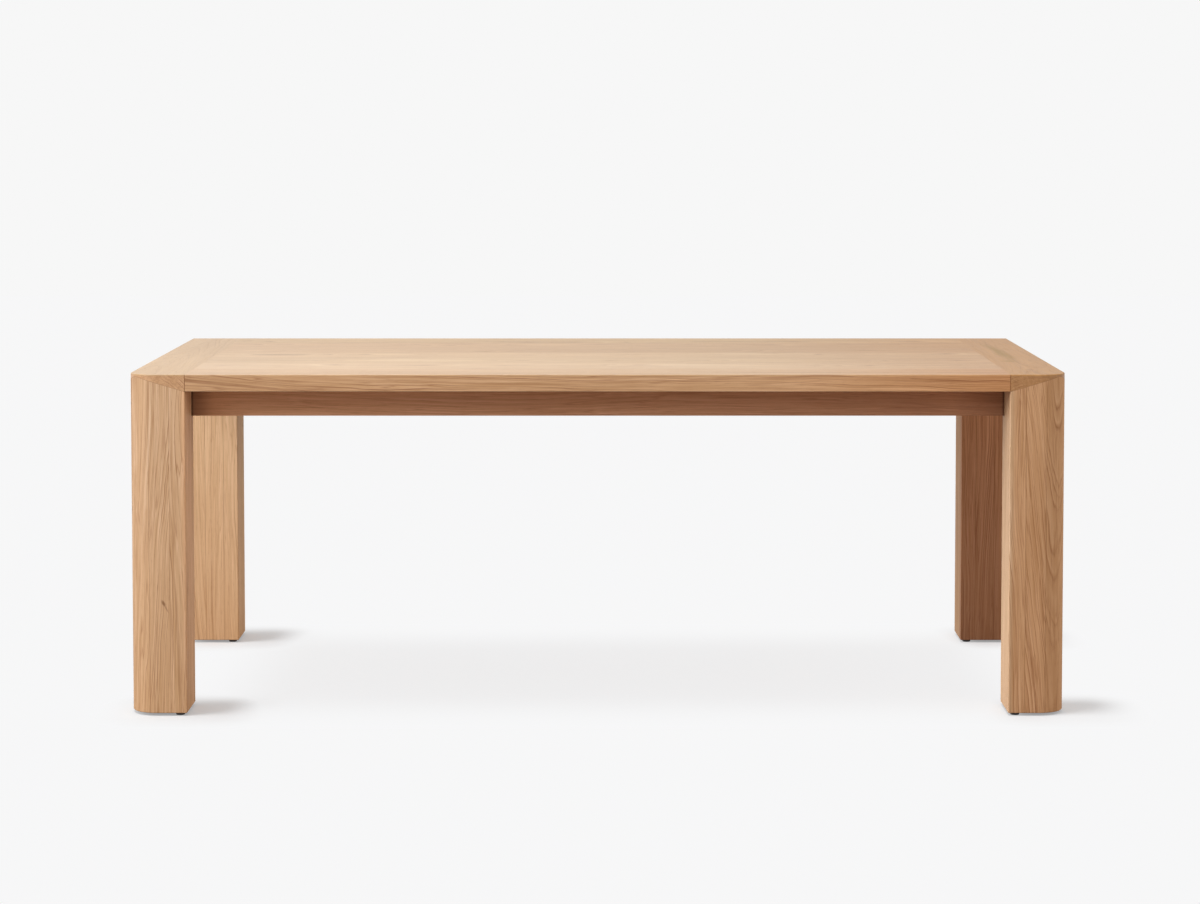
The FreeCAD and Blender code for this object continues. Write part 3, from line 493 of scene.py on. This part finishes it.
LEG_STAVES = {
    "front_left": {
        "outer": dict(heart=(-0.860, -0.600, 0), seed=31.3, lean=-2.0, contrast=1.2),
        "middle": dict(heart=(-0.860, -0.600, 0), seed=31.3, lean=-2.0, contrast=1.2,
                       marks=[pin_knot]),
        "inner": dict(heart=(-0.760, -0.300, 0), seed=37.9, lean=1.0, contrast=1.2,
                      marks=[painted_warm_light_side]),
    },
    "front_right": {
        "outer": dict(heart=(0.660, -0.100, 0), seed=43.6, lean=2.0, contrast=0.75),
        "middle": dict(heart=(0.660, -0.100, 0), seed=41.2, lean=3.0, contrast=1.1),
        "inner": dict(heart=(0.760, -0.300, 0), seed=47.5, lean=0.5, marks=[painted_pale_light_side]),
    },
    "back_left": {
        "outer": dict(heart=(-1.220, 0.600, 0), seed=51.4, lean=1.5, contrast=0.7),
        "middle": dict(heart=(-1.200, 0.600, 0), seed=54.7, lean=-1.0, contrast=0.7),
        "inner": dict(heart=(-0.750, 0.580, 0), seed=57.3, lean=1.5, contrast=0.7),
    },
    "back_right": {
        "outer": dict(heart=(1.160, 0.600, 0), seed=61.8, contrast=1.1, marks=[painted_front_shade]),
        "middle": dict(heart=(1.180, 0.600, 0), seed=64.2, contrast=1.1, marks=[painted_front_shade]),
        "inner": dict(heart=(0.740, 0.580, 0), seed=67.6, contrast=1.1,
                      marks=[painted_front_shade, painted_shade_side]),
    },
}
for corner, staves in LEG_STAVES.items():
    foot_tone_and_light, head_tone_and_light = LEG_TONES_AND_LIGHT[corner]
    for part, board in staves.items():
        name = "leg_%s_%s_stave" % (corner, part)
        dress(name, oak_board(name, "Z", tint=foot_tone_and_light, far_tint=head_tone_and_light,
                              ring=LEG_RINGS[corner], **board))


# The aprons, rails and splines: direction of the grain, heart, seed

FRAME_OAK = {
    "apron_front": ("X", (0, -0.40, 0.50), 71.4),
    "apron_back": ("X", (0, 0.25, 0.55), 74.9),
    "apron_left": ("Y", (-0.78, 0, 0.55), 77.2),
    "apron_right": ("Y", (0.78, 0, 0.55), 81.6),
    "cross_rail_1": ("Y", (-0.26, 0, 0.65), 84.3),
    "cross_rail_2": ("Y", (0.26, 0, 0.65), 87.7),
    "breadboard_spline_left": ("Y", (-0.90, 0, 0.71), 91.5),
    "breadboard_spline_right": ("Y", (0.90, 0, 0.71), 94.8),
}
PLAIN_TONES = ((0.94, 0.86, 0.82), (0.90, 0.82, 0.78))
# Painted light on the front apron: lighter at its left end, darker at its right
FRONT_APRON_PAINTED_LIGHT = ((1.22, 1.13, 1.20), (0.80, 0.67, 0.71))
for name, (direction, heart, seed) in FRAME_OAK.items():
    in_front = name == "apron_front"
    tones_and_light = FRONT_APRON_PAINTED_LIGHT if in_front else PLAIN_TONES
    dress(name, oak_board(name, direction, heart, seed, *tones_and_light, contrast=0.8,
                          marks=[corner_shade] if in_front else []))


# Dowels, fittings and glides

def metal(name, colour, rough, spot):
    """Zinc-plated steel, with the faint cloudiness of the plating."""
    material, tree = new_material(name)
    place = object_place(tree)
    cloud = noise(tree, place, (spot, spot, spot), 3.0, 0.6).outputs[0]
    brushed = noise(tree, place, grain(2500.0, 120.0), 1.0).outputs[0]
    shade = scaled(tree, colour, remap(tree, cloud, 0.3, 0.7, 0.85, 1.05))
    shine = remap(tree, cloud, 0.3, 0.7, rough - 0.06, rough + 0.08)
    bump = put(tree, "Bump", {"Strength": 0.15, "Distance": 0.0001, "Height": brushed})
    shader = put(tree, "BsdfPrincipled", {"Base Color": shade, "Roughness": shine,
                                          "Normal": bump.outputs[0], "Metallic": 1.0})
    put(tree, "OutputMaterial", {"Surface": shader.outputs[0]})
    return material


def nylon(name):
    """Black moulded nylon with a fine spark-eroded skin."""
    material, tree = new_material(name)
    place = object_place(tree)
    skin = noise(tree, place, (3500.0, 3500.0, 3500.0), 2.0).outputs[0]
    scuff = noise(tree, place, (300.0, 300.0, 300.0), 3.0, 0.6).outputs[0]
    colour = blend_colour(tree, remap(tree, scuff, 0.4, 0.75), rgba(NYLON_BLACK),
                          rgba(NYLON_SCUFF))
    shine = remap(tree, scuff, 0.3, 0.7, 0.42, 0.58)
    bump = put(tree, "Bump", {"Strength": 0.3, "Distance": 0.00005, "Height": skin})
    shader = put(tree, "BsdfPrincipled", {"Base Color": colour, "Roughness": shine,
                                          "Normal": bump.outputs[0]})
    put(tree, "OutputMaterial", {"Surface": shader.outputs[0]})
    return material


BEECH = dict(tint=BEECH_TINT, ring=0.002, contrast=0.4)
dress("leg_dowels", oak_board("dowel_upright", "Z", (0, 0, 0), 97.2, **BEECH))
dress("apron_dowels", oak_board("dowel_level", "X", (0, 0, 0.6), 99.4, **BEECH))

bracket_zinc = metal("pressed_steel_zinc", (0.60, 0.60, 0.59), 0.38, 90.0)
bright_zinc = metal("bright_zinc", (0.68, 0.68, 0.66), 0.28, 220.0)
for name in ("corner_brackets", "tabletop_clips"):
    dress(name, bracket_zinc)
for name in ("bracket_screws", "hanger_bolts", "bolt_washers", "bolt_nuts", "clip_screws",
             "cross_rail_screws", "glide_nails"):
    dress(name, bright_zinc)

black_nylon = nylon("black_nylon")
for corner in LEG_STAVES:
    dress("glides_" + corner, black_nylon)


# Floor

FLOOR_REACH = 14.0
FLOOR_WHITE = (PAPER * 0.99, PAPER * 1.015, PAPER * 1.035)
FLOOR_GLOW = (PAPER, PAPER, PAPER * 1.005)
FLOOR_BOUNCE = (0.30, 0.22, 0.17)     # what the floor throws back on the table
SHADE_SLIP = 0.06                     # how far the shade lies to the right of what casts it
TABLE_SHADE = 0.34
TABLE_SHADE_X = (0.76, 1.02)          # where it starts to fade, and where it ends
TABLE_SHADE_Y = (0.26, 0.62)
LEG_SHADE = 0.67
LEG_SHADE_REACH = 0.14


def seen_directly(tree):
    """1 for rays that show the background itself: camera, mirror and glass rays."""
    path = put(tree, "LightPath").outputs
    seen = maths(tree, "MAXIMUM", path["Is Camera Ray"], path["Is Glossy Ray"])
    return maths(tree, "MAXIMUM", seen, path["Is Transmission Ray"])


def floor_shade(tree):
    """How much the floor keeps of its shadow: some under the table, most beside the legs."""
    place = vectors(tree, "SUBTRACT", object_place(tree), (SHADE_SLIP, 0.0, 0.0))
    place = vectors(tree, "ABSOLUTE", place)
    under = maths(tree, "MULTIPLY",
                  remap(tree, coordinate(tree, place, 0), *TABLE_SHADE_X, 1.0, 0.0, smooth=True),
                  remap(tree, coordinate(tree, place, 1), *TABLE_SHADE_Y, 1.0, 0.0, smooth=True))
    under = maths(tree, "MULTIPLY", under, TABLE_SHADE)
    foot = vectors(tree, "ABSOLUTE", vectors(tree, "SUBTRACT", place, (LEG_X, LEG_Y, 0.0)))
    clear = vectors(tree, "SUBTRACT", foot, (LEG_WIDTH / 2, LEG_WIDTH / 2, 0.0))
    clear = length(tree, vectors(tree, "MAXIMUM", clear, (0.0, 0.0, 0.0)))
    beside = remap(tree, clear, 0.0, LEG_SHADE_REACH, LEG_SHADE, 0.0, smooth=True)
    return maths(tree, "MAXIMUM", under, beside)


def studio_floor():
    """A pale floor that keeps the table's shadow and fades into the backdrop."""
    shape = bmesh.new()
    bmesh.ops.create_grid(shape, x_segments=1, y_segments=1, size=FLOOR_REACH)
    mesh = bpy.data.meshes.new("studio_floor")
    shape.to_mesh(mesh)
    shape.free()
    floor = bpy.data.objects.new("studio_floor", mesh)
    bpy.context.scene.collection.objects.link(floor)
    material, tree = new_material("pale_floor")
    paint = put(tree, "BsdfDiffuse", {"Color": rgba(FLOOR_WHITE)}).outputs[0]
    glow = put(tree, "Emission", {"Color": rgba(FLOOR_GLOW)}).outputs[0]
    bounce = put(tree, "BsdfDiffuse", {"Color": rgba(FLOOR_BOUNCE)}).outputs[0]
    shown = put(tree, "MixShader", {0: floor_shade(tree), 1: glow, 2: paint}).outputs[0]
    mixed = put(tree, "MixShader", {0: seen_directly(tree), 1: bounce, 2: shown}).outputs[0]
    put(tree, "OutputMaterial", {"Surface": mixed})
    mesh.materials.append(material)
    return floor


# Light

DOME = 0.60
DOME_LEFT_GLOSS = 1.15
DOME_RIGHT_GLOSS = 0.55
COOL = (0.86, 1.06, 1.28)
CREAM = (1.0, 0.95, 0.86)
AMBER = (1.0, 0.81, 0.57)
FROM_FRONT_LEFT = (-0.66, -0.55, 0.51)
FROM_ABOVE = (-0.32, -0.12, 0.90)
FROM_RIGHT = (0.97, -0.08, 0.16)
FROM_LEFT = (-0.99, -0.02, 0.12)
FROM_HIGH_LEFT = (-0.20, -0.07, 0.98)
LAMP_AIM = (0.0, 0.0, 0.45)


def studio_dome():
    """A plain white surround, which gloss shows brighter on the left than on the right."""
    world = bpy.data.worlds.new("studio_dome")
    world.use_nodes = True
    tree = world.node_tree
    tree.nodes.clear()
    way = coordinate(tree, put(tree, "TexCoord").outputs["Generated"], 0)
    path = put(tree, "LightPath").outputs
    glossy = remap(tree, way, -0.30, 0.30, DOME_LEFT_GLOSS, DOME_RIGHT_GLOSS, smooth=True)
    strength = remap(tree, path["Is Glossy Ray"], 0.0, 1.0, DOME, glossy)
    seen = maths(tree, "MAXIMUM", path["Is Camera Ray"], path["Is Transmission Ray"])
    strength = remap(tree, seen, 0.0, 1.0, strength, PAPER)
    light = put(tree, "Background", {"Color": rgba((1, 1, 1)), "Strength": strength})
    put(tree, "OutputWorld", {"Surface": light.outputs[0]})
    bpy.context.scene.world = world


def group(name, things):
    """A collection that a lamp can be limited to."""
    new = bpy.data.collections.new(name)
    for thing in things:
        new.objects.link(thing)
    return new


def named(*starts, within=""):
    """The table's pieces whose names start so and hold this."""
    return [thing for name, thing in NODES.items() if name.startswith(starts) and within in name]


def lamp(name, kind, lit, towards, power, distance, size, colour=(1.0, 1.0, 1.0), glossy=True):
    """A lamp in the direction given, which lights only what is in the collection lit."""
    data = bpy.data.lights.new(name, kind)
    data.energy = power
    data.color = colour
    if kind == "AREA":
        data.shape = "SQUARE"
        data.size = size
    else:
        data.angle = size
    thing = bpy.data.objects.new(name, data)
    bpy.context.scene.collection.objects.link(thing)
    towards = Vector(towards).normalized()
    thing.location = Vector(LAMP_AIM) + towards * distance
    thing.rotation_euler = towards.to_track_quat("Z", "Y").to_euler()
    thing.visible_glossy = glossy
    thing.light_linking.receiver_collection = lit
    return thing


floor = studio_floor()
studio_dome()
table = group("table_pieces", NODES.values())
lamp("softbox", "AREA", table, FROM_FRONT_LEFT, 480.0, 8.0, 4.5)
lamp("overhead", "AREA", table, FROM_ABOVE, 75.0, 4.2, 2.5)
lamp("right_bounce", "AREA", table, FROM_RIGHT, 150.0, 8.0, 3.0, CREAM, glossy=False)
left_legs = group("left_legs", named("leg_", within="_left_"))
lamp("warm_bounce", "AREA", left_legs, FROM_RIGHT, 235.0, 8.0, 3.0, AMBER, glossy=False)
right_legs = group("right_legs", named("leg_", within="_right_"))
lamp("left_fill", "AREA", right_legs, FROM_LEFT, 620.0, 8.0, 2.5, COOL, glossy=False)
rear_left_leg = group("rear_left_leg", named("leg_", within="_back_left_"))
lamp("rear_fill", "AREA", rear_left_leg, FROM_FRONT_LEFT, 240.0, 8.0, 4.5)
floor_lamp = lamp("floor_lamp", "SUN", group("floor_only", [floor]), FROM_HIGH_LEFT, 1.28, 3.0,
                  math.radians(10))
floor_lamp.light_linking.blocker_collection = group("standing_pieces", named("leg_", "glides_"))


# Camera

CAMERA_PLACE = (0.0357, -6.8788, 1.3478)
CAMERA_PITCH = 3.22
CAMERA_LENS = 86.76
CAMERA_SHIFT = (-0.01142, -0.15)

camera_data = bpy.data.cameras.new("camera")
camera_data.lens = CAMERA_LENS
camera_data.shift_x, camera_data.shift_y = CAMERA_SHIFT
camera = bpy.data.objects.new("camera", camera_data)
camera.location = CAMERA_PLACE
camera.rotation_euler = (math.radians(90 - CAMERA_PITCH), 0.0, 0.0)
bpy.context.scene.collection.objects.link(camera)
bpy.context.scene.camera = camera
bpy.context.scene.view_settings.view_transform = "Standard"
